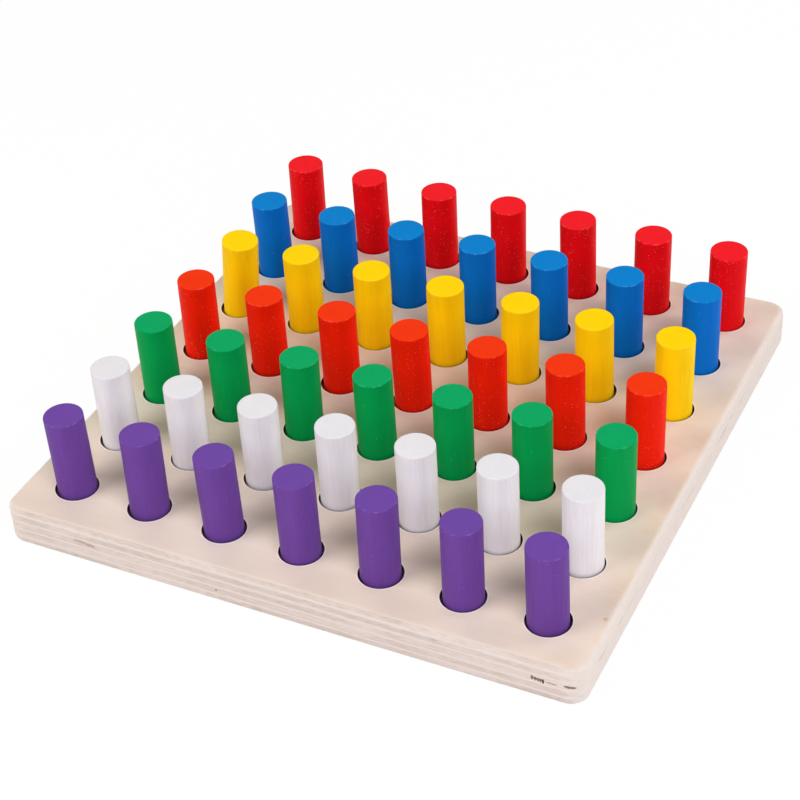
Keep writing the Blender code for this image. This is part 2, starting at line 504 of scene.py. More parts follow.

# %% [markdown]
# ## The plywood finish
# Face, edge and holes now come together in one material. The height of a point decides between face and
# edge, and which of X and Y is further out decides between the edges. Small gaps in the core carry painted
# shade as an attribute named pit_shade, because they are cut into the mesh later. Bare wood is dull, so its
# specular is low.

# %% Make the plywood finish
FACE_GRAIN = {"Fibre Length": 9 * MM, "Fibre Width": 0.9 * MM}
EDGE_TURN = (-13 * MM, 3 * MM)  # how much further out X is than Y, from the front's look to the side's
VENEER_BLEND = (0.1 * FACE_VENEER, 0.8 * FACE_VENEER)  # below a face, from its look to the edge's
PORES = {"Spacing": 9 * MM, "Radius": 0.22 * MM, "Share": 0.22}
PORE_SHARE = 0.35  # of the fleck's colour in a pore
MOTTLE_SCALE = (700.0, 700.0, 500.0)
MOTTLE_RANGE = (0.35, 0.70)  # of the noise, from dark to light in the painted shade inside a gap
# Painted shade inside the gaps of the core, mottled towards the knot's colour
PIT_SHADE_DARK = (0.110, 0.046, 0.026, 1.0)
WOOD_ROUGHNESS = (0.55, 0.70)  # between the fibres and on them
WOOD_SPECULAR = 0.12
WOOD_BUMP = {"Strength": 0.25, "Distance": 0.05 * MM}


def start_material(name):
    """A new material with its shader and the socket of its Object coordinates."""
    material = bpy.data.materials.new(name)
    material.use_nodes = True
    tree = material.node_tree
    shader = tree.nodes["Principled BSDF"]
    coords = add(tree, "ShaderNodeTexCoord").outputs["Object"]
    return material, tree, shader, coords


def set_surface(tree, shader, fibres, roughness, specular, relief, bump):
    """Gives the shader a roughness that follows the fibres, an even specular and a fine relief."""
    low, high = roughness
    feed(tree, shader.inputs["Roughness"], step(tree, fibres, 0.0, 1.0, start=low, end=high))
    shader.inputs["Specular IOR Level"].default_value = specular
    feed(tree, shader.inputs["Normal"], add(tree, "ShaderNodeBump", {"Height": relief, **bump}).outputs[0])


def make_plywood():
    material, tree, shader, coords = start_material("plywood")
    place = split(tree, coords)
    depth = calc(tree, "SUBTRACT", BOARD_TOP, place["Z"])
    from_middle = [calc(tree, "ABSOLUTE", place[axis]) for axis in ("X", "Y")]

    grain = use_group(tree, GRAIN, {"Vector": coords, **FACE_GRAIN})
    face = face_colour(tree, coords, place, grain)
    side = step(tree, calc(tree, "SUBTRACT", *from_middle), *EDGE_TURN)
    edge, torn = edge_colour(tree, coords, depth, side)
    under_face = step(tree, depth, *VENEER_BLEND)
    over_back = step(tree, place["Z"], *VENEER_BLEND)
    colour = blend(tree, calc(tree, "MULTIPLY", under_face, over_back), face, edge)
    pores = use_group(tree, SPECKS, {"Vector": coords, **PORES})
    colour = blend(tree, calc(tree, "MULTIPLY", pores["Mask"], PORE_SHARE), colour, FLECK)
    colour = drill_marks(tree, place, depth, colour)

    # Painted shade inside the gaps of the core, mottled
    pit_shade = add(tree, "ShaderNodeAttribute", attribute_name="pit_shade").outputs["Fac"]
    mottle = step(tree, stretched_noise(tree, coords, MOTTLE_SCALE), *MOTTLE_RANGE)
    colour = blend(tree, pit_shade, colour, blend(tree, mottle, PIT_SHADE_DARK, KNOT_AND_PIT_SHADE))
    feed(tree, shader.inputs["Base Color"], colour)
    relief = calc(tree, "SUBTRACT", grain["Fibres"], torn)
    set_surface(tree, shader, grain["Fibres"], WOOD_ROUGHNESS, WOOD_SPECULAR, relief, WOOD_BUMP)
    return material


PLYWOOD = make_plywood()
print("plywood: a finish of", len(PLYWOOD.node_tree.nodes), "nodes")

# %% [markdown]
# ## The board before drilling
# A board is an outline with round corners, given a thickness, with its edges sanded round. A bevel could
# round them, but stacking rings is plainer: each ring is the outline, moved inwards a little where the edge
# curves away. One more ring just inside the rounding keeps the shading of the flat faces flat.

# %% Draw the rings
CORNER_RADIUS = 7.5 * MM
CORNER_STEPS = 14
EDGE_ROUNDING = 2.5 * MM
EDGE_STEPS = 10
FLAT_GUARD = 0.4 * MM


def outline(inset):
    """The board's outline moved inwards, anticlockwise, with each corner as an arc."""
    points = []
    for corner in range(4):
        side_x = 1 if corner in (0, 1) else -1
        side_y = 1 if corner in (1, 2) else -1
        centre = Vector((side_x * (HALF_LENGTH - CORNER_RADIUS), side_y * (HALF_WIDTH - CORNER_RADIUS)))
        for index in range(CORNER_STEPS + 1):
            angle = math.radians(90 * (corner - 1 + index / CORNER_STEPS))
            points.append(centre + (CORNER_RADIUS - inset) * Vector((math.cos(angle), math.sin(angle))))
    return points


def edge_profile():
    """Inset and height of each ring, from the underside round the edge to the top."""
    arc = []
    for index in range(EDGE_STEPS + 1):
        angle = math.radians(90 * index / EDGE_STEPS)
        arc.append((EDGE_ROUNDING * (1 - math.sin(angle)), EDGE_ROUNDING * (1 - math.cos(angle))))
    lower = [(EDGE_ROUNDING + FLAT_GUARD, 0.0)] + arc
    upper = [(inset, BOARD_TOP - height) for inset, height in reversed(lower)]
    return lower + upper


print("board:", len(edge_profile()), "rings of", len(outline(0.0)), "points")

# %% [markdown]
# ## Stacking the rings
# A mesh in code is made in a bmesh: points first, then the faces between them. Neighbouring rings are
# joined by a band of four-sided faces, and the first and the last ring are closed by one face each.


# %% Stack the rings
def finish_mesh(bm, name):
    """Turns all faces outwards, and makes a plain mesh of a bmesh."""
    bmesh.ops.recalc_face_normals(bm, faces=bm.faces)
    mesh = bpy.data.meshes.new(name)
    bm.to_mesh(mesh)
    bm.free()
    return mesh


def board_blank_mesh():
    bm = bmesh.new()
    rings = []
    for inset, height in edge_profile():
        rings.append([bm.verts.new((point.x, point.y, height)) for point in outline(inset)])
    for lower, upper in zip(rings, rings[1:]):
        for index, corner in enumerate(lower):
            after = (index + 1) % len(lower)
            bm.faces.new((corner, lower[after], upper[after], upper[index]))
    bm.faces.new(list(reversed(rings[0])))
    bm.faces.new(rings[-1])
    return finish_mesh(bm, "board_blank")


def add_object(name, data):
    obj = bpy.data.objects.new(name, data)
    scene.collection.objects.link(obj)
    return obj


board = add_object("plywood_board", board_blank_mesh())
print("board blank:", len(board.data.polygons), "faces")

# %% [markdown]
# ## The drill
# The holes are drilled from above, and their rims are lightly broken with sandpaper. A cylinder as a cutter
# would leave knife edges. So the bit is turned from a profile that flares just at the top, and one cut
# makes the wall, the flat floor and the soft rim.

# %% Turn the drill bit
HOLE_SIDES = 64
RIM_DEGREES = (0, 30, 60)  # round the arc of the broken rim
BIT_RISE = 8  # times as far as the arc still has to go, so that the bit ends well above the board


def turned_mesh(name, profile, sides):
    """A closed solid turned about Z from a profile of radius and height that starts and ends on the axis."""
    bm = bmesh.new()
    first = bm.verts.new((0.0, 0.0, profile[0][1]))
    last = bm.verts.new((0.0, 0.0, profile[-1][1]))
    rings = []
    for radius, height in profile[1:-1]:
        turns = [math.tau * index / sides for index in range(sides)]
        rings.append([bm.verts.new((radius * math.cos(a), radius * math.sin(a), height)) for a in turns])
    for index in range(sides):
        after = (index + 1) % sides
        bm.faces.new((first, rings[0][after], rings[0][index]))
        bm.faces.new((last, rings[-1][index], rings[-1][after]))
        for lower, upper in zip(rings, rings[1:]):
            bm.faces.new((lower[index], lower[after], upper[after], upper[index]))
    return finish_mesh(bm, name)


def drill_profile():
    """The hole's floor and wall, then the arc of its broken rim, carried on above the board."""
    points = [(0.0, HOLE_FLOOR), (HOLE_RADIUS, HOLE_FLOOR)]
    for degrees in RIM_DEGREES:
        angle = math.radians(degrees)
        out = RIM_BREAK * (1 - math.cos(angle))
        down = RIM_BREAK * (1 - math.sin(angle))
        points.append((HOLE_RADIUS + out, BOARD_TOP - down))
    last_radius, last_height = points[-1]
    slope = Vector((HOLE_RADIUS + RIM_BREAK - last_radius, BOARD_TOP - last_height)) * BIT_RISE
    top = (last_radius + slope.x, last_height + slope.y)
    return points + [top, (0.0, top[1])]


drill_bit = add_object("drill_bit", turned_mesh("drill_bit", drill_profile(), HOLE_SIDES))
print("cutter:", drill_bit.name, "with", len(drill_bit.data.polygons), "faces")

# %% [markdown]
# ## Gaps in the core
# The core of plywood has small gaps: a knot hole and a few slits show on the edges. They could be painted
# on, but a real dent has its own shadow from every side. So lens-shaped cutters sit half in the edge. Each
# also carries painted shade on its faces, which darkens the dent further, and the cut hands it on to the
# board.

# %% Make the gap cutters
KNOT_TICK = 0.5 * MM
CORE_SLIT = 2.4 * MM
CORE_SMUDGE = 4.0 * MM
PIN_HOLE = 0.5 * MM
# Edge of the board, place along it, depth below the top, half length, half height and painted shade
CORE_GAPS = (
    ("front", 107.4 * MM, 8.1 * MM, KNOT_TICK, 1.15 * MM, 0.62),
    ("front", 108.7 * MM, 8.3 * MM, KNOT_TICK, 0.95 * MM, 0.70),
    ("front", 109.8 * MM, 8.4 * MM, KNOT_TICK, 1.00 * MM, 0.62),
    ("front", 110.8 * MM, 8.4 * MM, KNOT_TICK, 0.95 * MM, 0.70),
    ("front", 111.8 * MM, 8.6 * MM, KNOT_TICK, 1.25 * MM, 0.90),
    ("front", 109.7 * MM, 8.2 * MM, CORE_SLIT, 0.55 * MM, 0.58),
    ("front", 115.0 * MM, 8.5 * MM, CORE_SLIT, 0.40 * MM, 0.16),
    ("front", -90.0 * MM, 7.3 * MM, CORE_SMUDGE, 0.90 * MM, 0.17),
    ("front", -85.8 * MM, 7.8 * MM, CORE_SLIT, 0.80 * MM, 0.30),
    ("front", -27.4 * MM, 11.7 * MM, PIN_HOLE, 0.40 * MM, 0.32),
    ("right", 46.0 * MM, 6.2 * MM, CORE_SLIT, 0.22 * MM, 0.50),
    ("back", -58.0 * MM, 8.2 * MM, CORE_SLIT, 0.45 * MM, 0.70),
    ("back", 91.0 * MM, 11.9 * MM, PIN_HOLE, 0.40 * MM, 0.60),
    ("left", 22.0 * MM, 10.1 * MM, CORE_SLIT, 0.30 * MM, 0.50),
)
CORNER_SLIT = 2.7 * MM
CORNER_SLIT_HEIGHT = 0.65 * MM
CORNER_SLIT_DEPTH = 8.2 * MM
# How dark the painted shade inside the corner slit is
CORNER_SLIT_SHADE = 0.70
CORNER_SLIT_ANGLE = -72.0  # round the right front corner, where the front edge is at -90
CORNER_SLIT_TILT = -7.0  # down to the right
EDGE_TURNS = {"front": -90.0, "right": 0.0, "back": 90.0, "left": 180.0}
GAP_DEPTH = 1.1 * MM
GAP_FINENESS = 3


def add_gap(bm, place, turn, half_length, half_height, shade_darkness, tilt=0.0):
    """A small lens: long along the edge, thin across the layers, and reaching a little way in."""
    lens = bmesh.ops.create_icosphere(bm, subdivisions=GAP_FINENESS, radius=1.0)["verts"]
    # The lens's faces carry painted shade, which the board takes over where it is cut
    pit_shade = bm.faces.layers.float["pit_shade"]
    for face in {face for vertex in lens for face in vertex.link_faces}:
        face[pit_shade] = shade_darkness
    shape = Matrix.Diagonal((GAP_DEPTH, half_length, half_height, 1.0))
    turned = Matrix.Rotation(math.radians(turn), 4, "Z") @ Matrix.Rotation(math.radians(tilt), 4, "X")
    bmesh.ops.transform(bm, matrix=Matrix.Translation(place) @ turned @ shape, verts=lens)


def gap_mesh():
    bm = bmesh.new()
    bm.faces.layers.float.new("pit_shade")
    for edge, along, depth, half_length, half_height, shade_darkness in CORE_GAPS:
        turn = Matrix.Rotation(math.radians(EDGE_TURNS[edge]), 3, "Z")
        reach = HALF_WIDTH if edge in ("front", "back") else HALF_LENGTH
        # The turn reverses the back and left edges. The sign keeps along growing to the right or the back.
        sign = 1 if edge in ("front", "right") else -1
        place = turn @ Vector((reach, sign * along, 0.0))
        place.z = BOARD_TOP - depth
        add_gap(bm, place, EDGE_TURNS[edge], half_length, half_height, shade_darkness)
    angle = math.radians(CORNER_SLIT_ANGLE)
    arc = CORNER_RADIUS * Vector((math.cos(angle), math.sin(angle), 0.0))
    middle = Vector((HALF_LENGTH - CORNER_RADIUS, CORNER_RADIUS - HALF_WIDTH, BOARD_TOP - CORNER_SLIT_DEPTH))
    sizes = (CORNER_SLIT, CORNER_SLIT_HEIGHT, CORNER_SLIT_SHADE)
    add_gap(bm, middle + arc, CORNER_SLIT_ANGLE, *sizes, CORNER_SLIT_TILT)
    return finish_mesh(bm, "core_gaps")


core_gaps = add_object("core_gaps", gap_mesh())
print("cutter:", core_gaps.name, "with", len(CORE_GAPS) + 1, "gaps")

# %% [markdown]
# ## Drilling with Geometry Nodes
# Forty-nine holes are one hole, repeated. A Boolean modifier for each would be slow and hard to change. So
# one tree lays out a grid of points, puts the drill bit on each, and takes all the bits and gaps away from
# the board in one cut. The faces that a gap leaves keep its painted shade as an attribute, which the
# plywood reads.


# %% Build the drilling tree
def build_drilling():
    tree, given, filled = new_group(
        "drilled_grid",
        "GeometryNodeTree",
        {
            "Board": "Geometry",
            "Bit": "Object",
            "Gaps": "Object",
            "Columns": "Int",
            "Rows": "Int",
            "Pitch": "Float",
            "Finish": "Material",
        },
        {"Drilled": "Geometry"},
    )
    sizes = {}
    for axis, count in (("X", given["Columns"]), ("Y", given["Rows"])):
        sizes[f"Size {axis}"] = calc(tree, "MULTIPLY", calc(tree, "SUBTRACT", count, 1.0), given["Pitch"])
        sizes[f"Vertices {axis}"] = count
    grid = add(tree, "GeometryNodeMeshGrid", sizes).outputs["Mesh"]
    bit = add(tree, "GeometryNodeObjectInfo", {"Object": given["Bit"]}).outputs["Geometry"]
    bits = add(tree, "GeometryNodeInstanceOnPoints", {"Points": grid, "Instance": bit}).outputs[0]
    gaps = add(tree, "GeometryNodeObjectInfo", {"Object": given["Gaps"]}).outputs["Geometry"]
    blank = {"Mesh 1": given["Board"], "Self Intersection": True}
    cut = add(tree, "GeometryNodeMeshBoolean", blank, operation="DIFFERENCE", solver="EXACT")
    for cutter in (bits, gaps):
        tree.links.new(cutter, cut.inputs["Mesh 2"])
    real = add(tree, "GeometryNodeRealizeInstances", {"Geometry": cut.outputs["Mesh"]}).outputs[0]
    finish = {"Geometry": real, "Material": given["Finish"]}
    feed(tree, filled["Drilled"], add(tree, "GeometryNodeSetMaterial", finish).outputs[0])
    return tree


drilling_tree = build_drilling()
print("drilling tree:", len(drilling_tree.nodes), "nodes")

# %% [markdown]
# ## Cutting the board
# A tree works on an object as a modifier, whose inputs go by their identifiers. Its result is turned into a
# plain mesh, so that the piece stands on its own, and the modifier and the cutters go. Where faces meet at
# more than a few degrees, the edge stays crisp, and all else is shaded smooth.

# %% Drill the board
SMOOTH_ANGLE = math.radians(12)


def add_tree(obj, tree, values):
    """Adds a geometry tree to an object, with its inputs set by their identifiers."""
    modifier = obj.modifiers.new(tree.name, "NODES")
    modifier.node_group = tree
    for item in tree.interface.items_tree:
        if item.in_out == "INPUT" and item.name in values:
            modifier[item.identifier] = values[item.name]


def make_plain(obj):
    """Turns an object's evaluated shape into its own mesh, and takes its modifiers off."""
    shown = obj.evaluated_get(bpy.context.evaluated_depsgraph_get())
    mesh = bpy.data.meshes.new_from_object(shown)
    obj.modifiers.clear()
    obj.data = mesh
    return mesh


drilling = {
    "Bit": drill_bit,
    "Gaps": core_gaps,
    "Columns": COLUMNS,
    "Rows": ROWS,
    "Pitch": PITCH,
    "Finish": PLYWOOD,
}
add_tree(board, drilling_tree, drilling)
board_mesh = make_plain(board)
board_mesh.shade_smooth()
board_mesh.set_sharp_from_angle(angle=SMOOTH_ANGLE)
for cutter in (drill_bit, core_gaps):
    bpy.data.objects.remove(cutter)
in_gaps = sum(value.value > 0.0 for value in board_mesh.attributes["pit_shade"].data)
print("drilled board:", len(board_mesh.polygons), "faces,", in_gaps, "of them in gaps")

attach(board, "board")
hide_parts("base_board")

# %% [markdown]
# ## Paint colours
# The pegs are dowel, dipped or sprayed with a thin satin paint, in one colour for each row. End grain soaks
# up more of the paint, so the ends differ a little from the sides. The paint is darker where it lies thick.
# Seven materials made one by one would soon drift apart, so a table holds only what differs between them.

# %% List the paints
# Colour along the peg, colour on its ends, and the share of specks
PAINTS = {
    "purple": ((0.146, 0.055, 0.299), (0.138, 0.057, 0.328), 0.08),
    "white": ((0.876, 0.843, 0.860), (0.735, 0.718, 0.767), 0.03),
    "green": ((0.000, 0.314, 0.070), (0.000, 0.335, 0.107), 0.05),
    "orange": ((0.900, 0.013, 0.001), (0.832, 0.033, 0.002), 0.85),
    "yellow": ((0.990, 0.642, 0.002), (0.940, 0.620, 0.001), 0.07),
    "blue": ((0.001, 0.144, 0.580), (0.000, 0.198, 0.588), 0.08),
    "red": ((0.808, 0.003, 0.006), (0.842, 0.009, 0.017), 0.85),
}
SHADE = 0.86  # of the colour, where the paint lies darkest along the peg
END_SHADE = 0.93  # the same on its ends


def tinted(colour, factor=1.0):
    return tuple(channel * factor for channel in colour) + (1.0,)


def paler(colour, share):
    return tuple(channel + (1.0 - channel) * share for channel in colour) + (1.0,)


print("colours:", ", ".join(PAINTS))

# %% [markdown]
# ## Satin paint
# The wood's grain shows through the paint faintly, as streaks and fine lines along the peg, and the rims of
# the ends are rubbed paler. Pale specks sit in the paint in clusters, most of them on the red and the
# orange pegs. One function makes all the paints, because they differ only in colour and in how speckled
# they are. It reads the attributes end and rim, which the pegs get with their shape.

# %% Make the paints
PAINT_GRAIN = {"Fibre Length": 16 * MM, "Fibre Width": 0.8 * MM}
GRAIN_SHARE = 0.4  # of the shade from the streaks, and as much from the fibres
CLOUD_SHARE = 0.2  # of the shade from soft patches
CLOUD = 14 * MM
CLUSTER = 9 * MM  # of specks
DUST = {"Spacing": 0.8 * MM, "Radius": 0.13 * MM}
DUST_SHARE = 0.55  # of the paler colour in a speck
DUST_PALE = 0.35  # towards white
DUST_HEIGHT = 2.0  # of the relief of a fibre
RUB = 2.2 * MM  # spot on a rim where the paint is rubbed
RUB_RANGE = (0.55, 0.95)  # of the patches, from where a spot begins to where it is full
RUB_SHARE = 0.22  # of the paler colour in a spot
RUB_PALE = 0.35  # towards white
PAINT_ROUGHNESS = (0.40, 0.54)  # between the fibres of the wood below and on them
PAINT_SPECULAR = 0.05
PAINT_BUMP = {"Strength": 0.18, "Distance": 0.06 * MM}


def paint_coat(tree, coords, grain, end, along, ends):
    """The paint's colour, darker where it lies thick."""
    patches = use_group(tree, PATCHES, {"Vector": coords, "Size": CLOUD})
    woody = calc(tree, "MULTIPLY", calc(tree, "ADD", grain["Streaks"], grain["Fibres"]), GRAIN_SHARE)
    thick = calc(tree, "ADD", woody, calc(tree, "MULTIPLY", patches["Tone"], CLOUD_SHARE))
    bright = blend(tree, end, tinted(along), tinted(ends))
    dark = blend(tree, end, tinted(along, SHADE), tinted(ends, END_SHADE))
    return blend(tree, thick, bright, dark)


def make_paint(name, along, ends, speckle):
    material, tree, shader, coords = start_material(f"{name}_paint")
    end = add(tree, "ShaderNodeAttribute", attribute_name="end").outputs["Fac"]
    upright = add(tree, "ShaderNodeMapping", {"Vector": coords, "Rotation": (0.0, math.radians(90), 0.0)})
    grain = use_group(tree, GRAIN, {"Vector": upright.outputs[0], **PAINT_GRAIN})
    surface = paint_coat(tree, coords, grain, end, along, ends)

    clusters = use_group(tree, PATCHES, {"Vector": coords, "Size": CLUSTER})
    on_side = calc(tree, "MULTIPLY", clusters["Tone"], calc(tree, "SUBTRACT", 1.0, end))
    share = calc(tree, "MULTIPLY", on_side, speckle)
    dust = use_group(tree, SPECKS, {"Vector": coords, "Share": share, **DUST})
    surface = blend(tree, calc(tree, "MULTIPLY", dust["Mask"], DUST_SHARE), surface, paler(along, DUST_PALE))

    rim = add(tree, "ShaderNodeAttribute", attribute_name="rim").outputs["Fac"]
    rubs = use_group(tree, PATCHES, {"Vector": coords, "Size": RUB})
    rubbed = calc(tree, "MULTIPLY", rim, step(tree, rubs["Tone"], *RUB_RANGE))
    surface = blend(tree, calc(tree, "MULTIPLY", rubbed, RUB_SHARE), surface, paler(ends, RUB_PALE))
    feed(tree, shader.inputs["Base Color"], surface)
    relief = calc(tree, "ADD", grain["Fibres"], calc(tree, "MULTIPLY", dust["Mask"], DUST_HEIGHT))
    set_surface(tree, shader, grain["Fibres"], PAINT_ROUGHNESS, PAINT_SPECULAR, relief, PAINT_BUMP)
    return material


paints = {name: make_paint(name, *look) for name, look in PAINTS.items()}
print(len(paints), "paints of", len(paints["red"].node_tree.nodes), "nodes each")

# %% [markdown]
# ## The shape of a peg
# A peg is a round rod with softly rounded ends, which is a rule, so a tree can make it. It starts from a
# cylinder, crowds the rows of points towards the ends, and then pulls each point onto a rounded shape: a
# core, smaller by the rounding, and one rounding's distance out from it. How far a point lies past the core
# also tells whether it is on an end or on a rim, which the paint wants to know.


# %% Define the shape of a peg
def crowded(tree, value, size):
    """Spreads values from -1 to 1 over a size, closer together towards both ends."""
    sine = calc(tree, "SINE", calc(tree, "MULTIPLY", value, math.pi / 2))
    return calc(tree, "MULTIPLY", sine, size)


def past_core(tree, given):
    """A point's way out from the axis, half the length, its nearest place in the core, and how far past."""
    place = add(tree, "GeometryNodeInputPosition").outputs[0]
    flat = vector_calc(tree, "MULTIPLY", place, (1.0, 1.0, 0.0))
    outwards = vector_calc(tree, "NORMALIZE", flat)
    half = calc(tree, "MULTIPLY", given["Length"], 0.5)
    across = crowded(tree, vector_length(tree, flat), given["Radius"])
    up = crowded(tree, split(tree, place)["Z"], half)
    core_radius = calc(tree, "SUBTRACT", given["Radius"], given["Rounding"])
    core_half = calc(tree, "SUBTRACT", half, given["Rounding"])
    core_across = calc(tree, "MINIMUM", across, core_radius)
    core_up = calc(tree, "MINIMUM", up, core_half)
    core_up = calc(tree, "MAXIMUM", core_up, calc(tree, "MULTIPLY", core_half, -1.0))
    past_across = calc(tree, "SUBTRACT", across, core_across)
    past_up = calc(tree, "SUBTRACT", up, core_up)
    return outwards, half, (core_across, core_up), (past_across, past_up)


def rounded_peg(tree, given, rod):
    """The rod pulled onto its rounded shape, with its pivot at the origin, and its rims and ends marked."""
    outwards, half, (core_across, core_up), (past_across, past_up) = past_core(tree, given)
    direction = vector_calc(tree, "NORMALIZE", combine(tree, X=past_across, Z=past_up))
    pushed = split(tree, scaled(tree, direction, given["Rounding"]))
    ring = scaled(tree, outwards, calc(tree, "ADD", core_across, pushed["X"]))
    height = calc(tree, "ADD", calc(tree, "ADD", core_up, pushed["Z"]), half)
    rise = combine(tree, Z=calc(tree, "SUBTRACT", height, given["Pivot"]))

    past_end = calc(tree, "ABSOLUTE", past_up)
    whole = calc(tree, "MULTIPLY", given["Rounding"], given["Rounding"])
    rim = calc(tree, "DIVIDE", calc(tree, "MULTIPLY", past_across, past_end), whole)
    end = calc(tree, "DIVIDE", past_end, given["Rounding"])
    marked = rod
    for name, value in (("rim", rim), ("end", end)):
        mark = {"Geometry": marked, "Name": name, "Value": value}
        marked = add(tree, "GeometryNodeStoreNamedAttribute", mark).outputs[0]
    shape = {"Geometry": marked, "Position": vector_calc(tree, "ADD", ring, rise)}
    return add(tree, "GeometryNodeSetPosition", shape).outputs[0]


print("peg shape:", crowded.__name__, past_core.__name__, rounded_peg.__name__)

# %% [markdown]
# ## Loose pegs with Geometry Nodes
# Real pegs don't stand quite straight. Placing each by hand would take long, so each gets a little sideways
# play and lean from its own seed, always less than its hole allows. It leans about a point halfway down its
# hole, and stands on the edge of its foot, so the tree lifts it by as much as that edge would sink.

# %% Build the peg tree
PEG_SIDES = 64
PEG_ROWS = 32
CAP_RINGS = 9


def standing_peg(tree, given, peg):
    """The peg put into its hole, with a random lean and play from its seed."""
    moves = []
    for amount, change in ((given["Lean"], 0), (given["Play"], 1)):
        most = combine(tree, X=amount, Y=amount)
        least = vector_calc(tree, "MULTIPLY", most, (-1.0, -1.0, -1.0))
        draw = {0: least, 1: most, "ID": given["Seed"], "Seed": change}
        moves.append(add(tree, "FunctionNodeRandomValue", draw, data_type="FLOAT_VECTOR").outputs[0])
    lean, play = moves
    turn = vector_calc(tree, "ADD", lean, given["Tilt"])
    sinking = calc(tree, "MULTIPLY", vector_length(tree, turn), given["Radius"])
    lift = combine(tree, Z=calc(tree, "ADD", sinking, given["Pivot"]))
    place = vector_calc(tree, "ADD", vector_calc(tree, "ADD", given["Foot"], play), lift)
    stand = {"Geometry": peg, "Rotation": turn, "Translation": place}
    return add(tree, "GeometryNodeTransform", stand).outputs[0]


def build_peg():
    tree, given, filled = new_group(
        "loose_peg",
        "GeometryNodeTree",
        {
            "Radius": "Float",
            "Length": "Float",
            "Rounding": "Float",
            "Foot": "Vector",
            "Pivot": "Float",
            "Play": "Float",
            "Lean": "Float",
            "Tilt": "Vector",
            "Seed": "Int",
            "Paint": "Material",
        },
        {"Peg": "Geometry"},
    )
    counts = {"Vertices": PEG_SIDES, "Side Segments": PEG_ROWS, "Fill Segments": CAP_RINGS}
    rod = add(tree, "GeometryNodeMeshCylinder", {**counts, "Radius": 1.0, "Depth": 2.0}).outputs["Mesh"]
    stood = standing_peg(tree, given, rounded_peg(tree, given, rod))
    smooth = add(tree, "GeometryNodeSetShadeSmooth", {"Geometry": stood}).outputs[0]
    real = add(tree, "GeometryNodeRealizeInstances", {"Geometry": smooth}).outputs[0]
    paint = {"Geometry": real, "Material": given["Paint"]}
    feed(tree, filled["Peg"], add(tree, "GeometryNodeSetMaterial", paint).outputs[0])
    return tree


peg_tree = build_peg()
print("peg tree:", len(peg_tree.nodes), "nodes")

# %% [markdown]
# ## Setting out the pegs
# Every peg moves by itself, so every peg is an object of its own that rides on its own body and stands for
# its own solid. They all come from the one tree, each with its foot's place, its seed and its row's paint.
# One peg leans as far as its hole allows, and takes that lean instead of a random one.

# %% Make the pegs
PEG_ROUNDING = 0.4 * MM
PEG_PLAY = 0.3 * MM
PEG_LEAN = math.radians(0.8)
LEANING = {"peg_yellow_1": (math.radians(0.9), math.radians(5.4), 0.0)}


def make_peg(node, seed):
    low, high = peg_boxes[node]
    colour = node.split("_")[1]
    steady = node in LEANING
    peg = add_object(f"painted_{node}", bpy.data.meshes.new(node))
    add_tree(
        peg,
        peg_tree,
        {
            "Radius": PEG_RADIUS,
            "Length": PEG_LENGTH,
            "Rounding": PEG_ROUNDING,
            "Foot": ((low.x + high.x) / 2, (low.y + high.y) / 2, low.z),
            "Pivot": (BOARD_TOP - low.z) / 2,
            "Play": 0.0 if steady else PEG_PLAY,
            "Lean": 0.0 if steady else PEG_LEAN,
            "Tilt": LEANING.get(node, (0.0, 0.0, 0.0)),
            "Seed": seed,
            "Paint": paints[colour],
        },
    )
    make_plain(peg)
    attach(peg, node)
    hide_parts(node)
    return peg


painted_pegs = [make_peg(node, seed) for seed, node in enumerate(peg_boxes)]
print(len(painted_pegs), "pegs of", len(painted_pegs[0].data.polygons), "faces each")

# %% [markdown]
# ## Studio floor and backdrop
# The toy lies on a white floor before a white backdrop. If these were lit until they turned white, the toy
# would be lit too much. So they glow white only where the camera or a reflection looks straight at them,
# and hardly light the toy. The floor keeps a small share of its own shading, and so takes a soft shadow.

# %% Build the floor and the backdrop
FLOOR_SIZE = 8.0
FLOOR_DROP = 0.2 * MM
FLOOR_GREY = 0.92
FLOOR_GLOW = 0.955
WORLD_STRENGTH = 0.03
WHITE = (1.0, 1.0, 1.0, 1.0)


def seen_directly(tree):
    """1 where the camera, a reflection or a see-through surface looks straight at it, and 0 for light."""
    path = add(tree, "ShaderNodeLightPath").outputs
    looks = calc(tree, "MAXIMUM", path["Is Camera Ray"], path["Is Glossy Ray"])
    return calc(tree, "MAXIMUM", looks, path["Is Transmission Ray"])


def make_floor():
    bm = bmesh.new()
    bmesh.ops.create_grid(bm, x_segments=1, y_segments=1, size=FLOOR_SIZE / 2)
    bmesh.ops.translate(bm, verts=bm.verts, vec=(0.0, 0.0, -FLOOR_DROP))
    floor = add_object("studio_floor", finish_mesh(bm, "studio_floor"))
    material = bpy.data.materials.new("white_floor")
    material.use_nodes = True
    tree = material.node_tree
    shader = tree.nodes["Principled BSDF"]
    shader.inputs["Base Color"].default_value = (FLOOR_GREY, FLOOR_GREY, FLOOR_GREY, 1.0)
    shader.inputs["Roughness"].default_value = 1.0
    shader.inputs["Specular IOR Level"].default_value = 0.0
    glow = add(tree, "ShaderNodeEmission", {"Color": WHITE, "Strength": 1.0})
    share = calc(tree, "MULTIPLY", seen_directly(tree), FLOOR_GLOW)
    mixed = add(tree, "ShaderNodeMixShader", {0: share, 1: shader.outputs[0], 2: glow.outputs[0]})
    tree.links.new(mixed.outputs[0], tree.nodes["Material Output"].inputs["Surface"])
    floor.data.materials.append(material)
    return floor


def make_world():
    world = bpy.data.worlds.new("white_studio")
    world.use_nodes = True
    tree = world.node_tree
    background = tree.nodes["Background"]
    background.inputs["Color"].default_value = WHITE
    strength = step(tree, seen_directly(tree), 0.0, 1.0, start=WORLD_STRENGTH, end=1.0)
    feed(tree, background.inputs["Strength"], strength)
    return world


studio_floor = make_floor()
scene.world = make_world()
print("studio:", studio_floor.name, "and", scene.world.name)

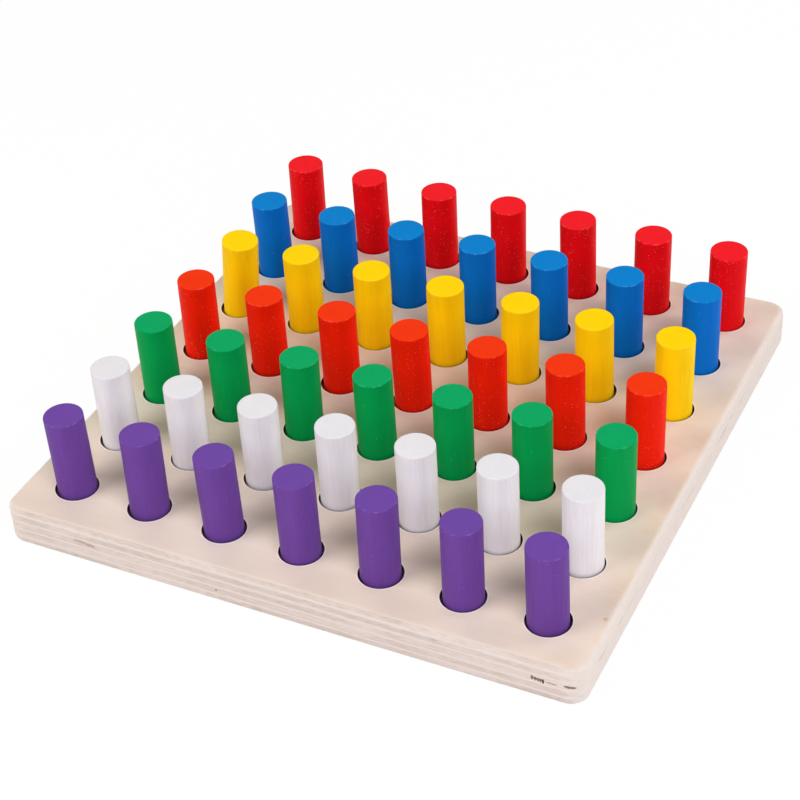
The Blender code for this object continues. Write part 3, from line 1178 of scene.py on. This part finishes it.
# %% [markdown]
# ## Softboxes
# Four softboxes light the toy. A sun lamp would draw hard shadows between the pegs, while a wide square
# lamp, as in a photo studio, keeps them soft. The strongest, slightly cool, stands at the front right.
# Warmer ones at the front left and at both back corners fill the shadows, which turn slightly brown.
# Together they are set so that colours render about as they are written.

# %% Set up the softboxes
SOFTBOX_SIZE = 0.8
SOFTBOX_DISTANCE = 1.3
COOL_LIGHT = (0.985, 0.98, 1.035)
WARM_LIGHT = (1.02, 1.01, 0.97)
STRAW_LIGHT = (1.10, 1.06, 0.80)


def add_softbox(name, azimuth, elevation, power, tint):
    """A square soft light that faces the middle of the board. Azimuth 0 is in front, 90 to the right."""
    lamp = bpy.data.lights.new(name, "AREA")
    lamp.size = SOFTBOX_SIZE
    lamp.energy = power
    lamp.color = tint
    obj = add_object(name, lamp)
    turn = Matrix.Rotation(math.radians(azimuth), 3, "Z") @ Matrix.Rotation(math.radians(-elevation), 3, "X")
    obj.location = turn @ Vector((0.0, -SOFTBOX_DISTANCE, 0.0))
    obj.rotation_euler = (Vector((0.0, 0.0, BOARD_TOP)) - obj.location).to_track_quat("-Z", "Y").to_euler()
    return obj


softboxes = [
    add_softbox("softbox_front_right", azimuth=47, elevation=38, power=11.2, tint=COOL_LIGHT),
    add_softbox("softbox_front_left", azimuth=-46, elevation=37, power=10.2, tint=WARM_LIGHT),
    add_softbox("softbox_back_right", azimuth=140, elevation=29, power=7.6, tint=WARM_LIGHT),
    add_softbox("softbox_back_left", azimuth=-142, elevation=62, power=3.5, tint=STRAW_LIGHT),
]
print("studio:", len(softboxes), "softboxes")

# %% [markdown]
# ## Camera
# The view looks down on the board from the front right, through a long lens from less than a metre away.
# The camera was held a little askew, so the view is rolled by a few degrees. Two angles, a distance and a
# point to aim at are easier to adjust than a place and a turn.

# %% Set the camera
VIEW_AZIMUTH = math.radians(27.66)
VIEW_ELEVATION = math.radians(37.27)
VIEW_ROLL = math.radians(3.70)
VIEW_DISTANCE = 0.8627
VIEW_AIM = Vector((-5.6 * MM, -2.35 * MM, BOARD_TOP))
LENS_MM = 89.86
SENSOR_MM = 36.0


def make_camera():
    data = bpy.data.cameras.new("camera")
    data.lens = LENS_MM
    data.sensor_width = SENSOR_MM
    data.dof.use_dof = False
    camera = add_object("camera", data)
    back = Vector(
        (
            math.sin(VIEW_AZIMUTH) * math.cos(VIEW_ELEVATION),
            -math.cos(VIEW_AZIMUTH) * math.cos(VIEW_ELEVATION),
            math.sin(VIEW_ELEVATION),
        )
    )
    level = (-back).to_track_quat("-Z", "Y").to_matrix()
    turn = level @ Matrix.Rotation(-VIEW_ROLL, 3, "Z")
    camera.matrix_world = Matrix.Translation(VIEW_AIM + back * VIEW_DISTANCE) @ turn.to_4x4()
    return camera


scene.camera = make_camera()
scene.view_settings.view_transform = "Standard"
print("camera at", [round(value, 4) for value in scene.camera.matrix_world.translation])
